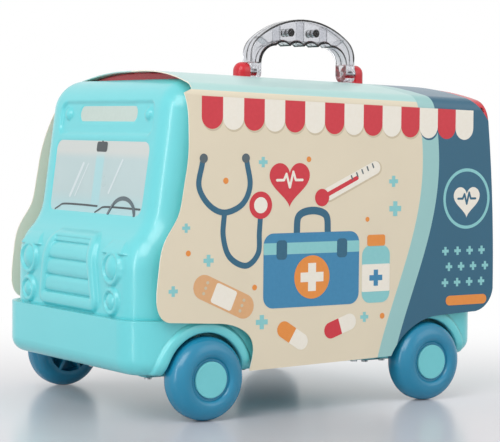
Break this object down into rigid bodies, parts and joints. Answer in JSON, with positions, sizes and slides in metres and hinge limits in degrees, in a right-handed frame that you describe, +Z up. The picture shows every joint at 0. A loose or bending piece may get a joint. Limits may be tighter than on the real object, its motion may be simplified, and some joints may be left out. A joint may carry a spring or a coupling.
{
  "type": "toy doctor case",
  "caption": "Van-shaped toy case on wheels with a hinged cab body, fitted tray, red roof with folding carry handle and a lift-off printed sleeve.",
  "frame": {"origin": "centre of the footprint, on the floor under the wheels", "axes": "the van faces -X, +Y is its right-hand side, +Z is up"},
  "size_m": [0.342, 0.25, 0.314],
  "materials": {
    "body_plastic": "satin aqua",
    "chassis_plastic": "matte aqua",
    "tray_plastic": "satin cream",
    "wheel_plastic": "gloss blue",
    "cap_plastic": "satin aqua",
    "roof_plastic": "gloss red",
    "handle_plastic": "clear smoke",
    "pane_plastic": "clear",
    "steel": "plain",
    "label_paper": "printed",
    "printed_card": "gloss print"
  },
  "bodies": {
    "base": {"base_shell": "body_plastic", "chassis_plate": "chassis_plastic", "tray_insert": "tray_plastic", "axle_clamps": "chassis_plastic", "axle_clamp_screws": "steel", "chassis_screws": "steel", "hinge_pin": "steel", "front_axle": "steel", "rear_axle": "steel", "front_axle_nuts": "steel", "rear_axle_nuts": "steel"},
    "front_left_wheel": {"wheel_front_left": "wheel_plastic", "hub_cap_front_left": "cap_plastic"},
    "front_right_wheel": {"wheel_front_right": "wheel_plastic", "hub_cap_front_right": "cap_plastic"},
    "rear_left_wheel": {"wheel_rear_left": "wheel_plastic", "hub_cap_rear_left": "cap_plastic"},
    "rear_right_wheel": {"wheel_rear_right": "wheel_plastic", "hub_cap_rear_right": "cap_plastic"},
    "upper_body": {"upper_shell": "body_plastic", "windscreen_label": "label_paper", "name_plate": "label_paper", "window_frame_left": "tray_plastic", "window_frame_right": "tray_plastic", "window_pane_left": "pane_plastic", "window_pane_right": "pane_plastic", "roof": "roof_plastic", "roof_screws": "steel", "awning_left": "roof_plastic", "awning_right": "roof_plastic", "handle_pin_front": "steel", "handle_pin_rear": "steel"},
    "handle": {"handle_half_left": "handle_plastic", "handle_half_right": "handle_plastic", "handle_screws": "steel"},
    "sleeve": {"printed_sleeve": "printed_card"}
  },
  "joints": [
    {"name": "front_left_wheel_turn", "type": "hinge", "parent": "base", "child": "front_left_wheel", "pos_m": [-0.111, -0.112, 0.032], "axis": [0, 1, 0], "continuous": true},
    {"name": "front_right_wheel_turn", "type": "hinge", "parent": "base", "child": "front_right_wheel", "pos_m": [-0.111, 0.112, 0.032], "axis": [0, 1, 0], "continuous": true},
    {"name": "rear_left_wheel_turn", "type": "hinge", "parent": "base", "child": "rear_left_wheel", "pos_m": [0.103, -0.112, 0.032], "axis": [0, 1, 0], "continuous": true},
    {"name": "rear_right_wheel_turn", "type": "hinge", "parent": "base", "child": "rear_right_wheel", "pos_m": [0.103, 0.112, 0.032], "axis": [0, 1, 0], "continuous": true},
    {"name": "body_hinge", "type": "hinge", "parent": "base", "child": "upper_body", "pos_m": [0.1635, 0, 0.077], "axis": [0, 1, 0], "range_deg": [0, 95]},
    {"name": "handle_fold", "type": "hinge", "parent": "upper_body", "child": "handle", "pos_m": [0.0547, 0, 0.269], "axis": [1, 0, 0], "range_deg": [-75, 75]},
    {"name": "sleeve_lift", "type": "slide", "parent": "upper_body", "child": "sleeve", "axis": [0, 0, 1], "range_m": [0, 0.29]}
  ]
}
